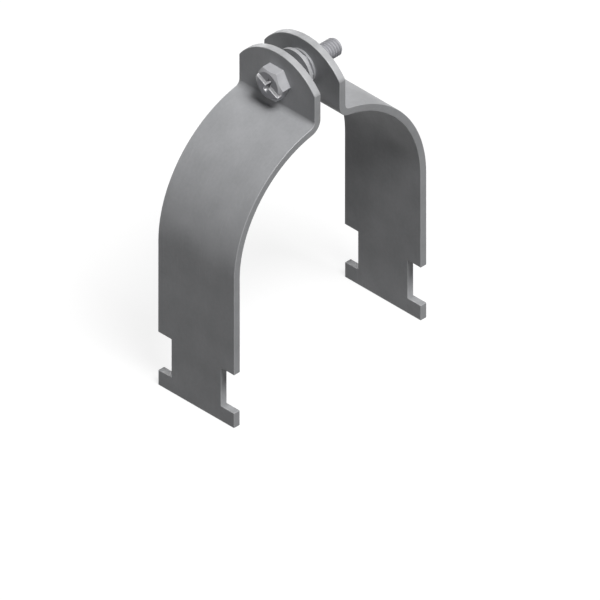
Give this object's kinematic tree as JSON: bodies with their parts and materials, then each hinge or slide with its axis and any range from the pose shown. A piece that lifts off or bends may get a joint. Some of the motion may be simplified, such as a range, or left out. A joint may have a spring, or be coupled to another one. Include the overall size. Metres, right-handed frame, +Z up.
{
  "type": "strut clamp",
  "caption": "Steel pipe clamp: bent straps that hook into a strut channel and are drawn together round a pipe by a hexagon screw and captive nut through their upright ears.",
  "frame": {"origin": "on the axis of the clamped pipe, in the middle of the straps' width", "axes": "+X from the front strap, at the screw's head, to the rear strap, at its nut; +Y along the pipe's axis; +Z up, from the hooked feet to the ears"},
  "size_m": [0.0812, 0.032, 0.1121],
  "materials": {
    "strap_zinc": "zinc-plated, smooth and satin, with brighter sheared edges",
    "screw_zinc": "bright zinc-plated, with a rolled thread and a cold-formed head",
    "nut_zinc": "bright zinc-plated, turned"
  },
  "bodies": {
    "rear_half": {"rear_strap": "strap_zinc", "captive_nut": "nut_zinc"},
    "front_half": {"front_strap": "strap_zinc"},
    "screw": {"clamp_screw": "screw_zinc"}
  },
  "joints": [
    {"name": "halves_close", "type": "slide", "parent": "rear_half", "child": "front_half", "axis": [1, 0, 0], "range_m": [-0.017, 0.0042]},
    {"name": "screw_turn", "type": "hinge", "parent": "front_half", "child": "screw", "pos_m": [0, 0, 0.04925], "axis": [1, 0, 0], "range_deg": [-6120, 1512]}
  ],
  "couplings": [
    {"joint": "screw_turn", "follows": "halves_close", "rad_per_m": 6283.2}
  ]
}
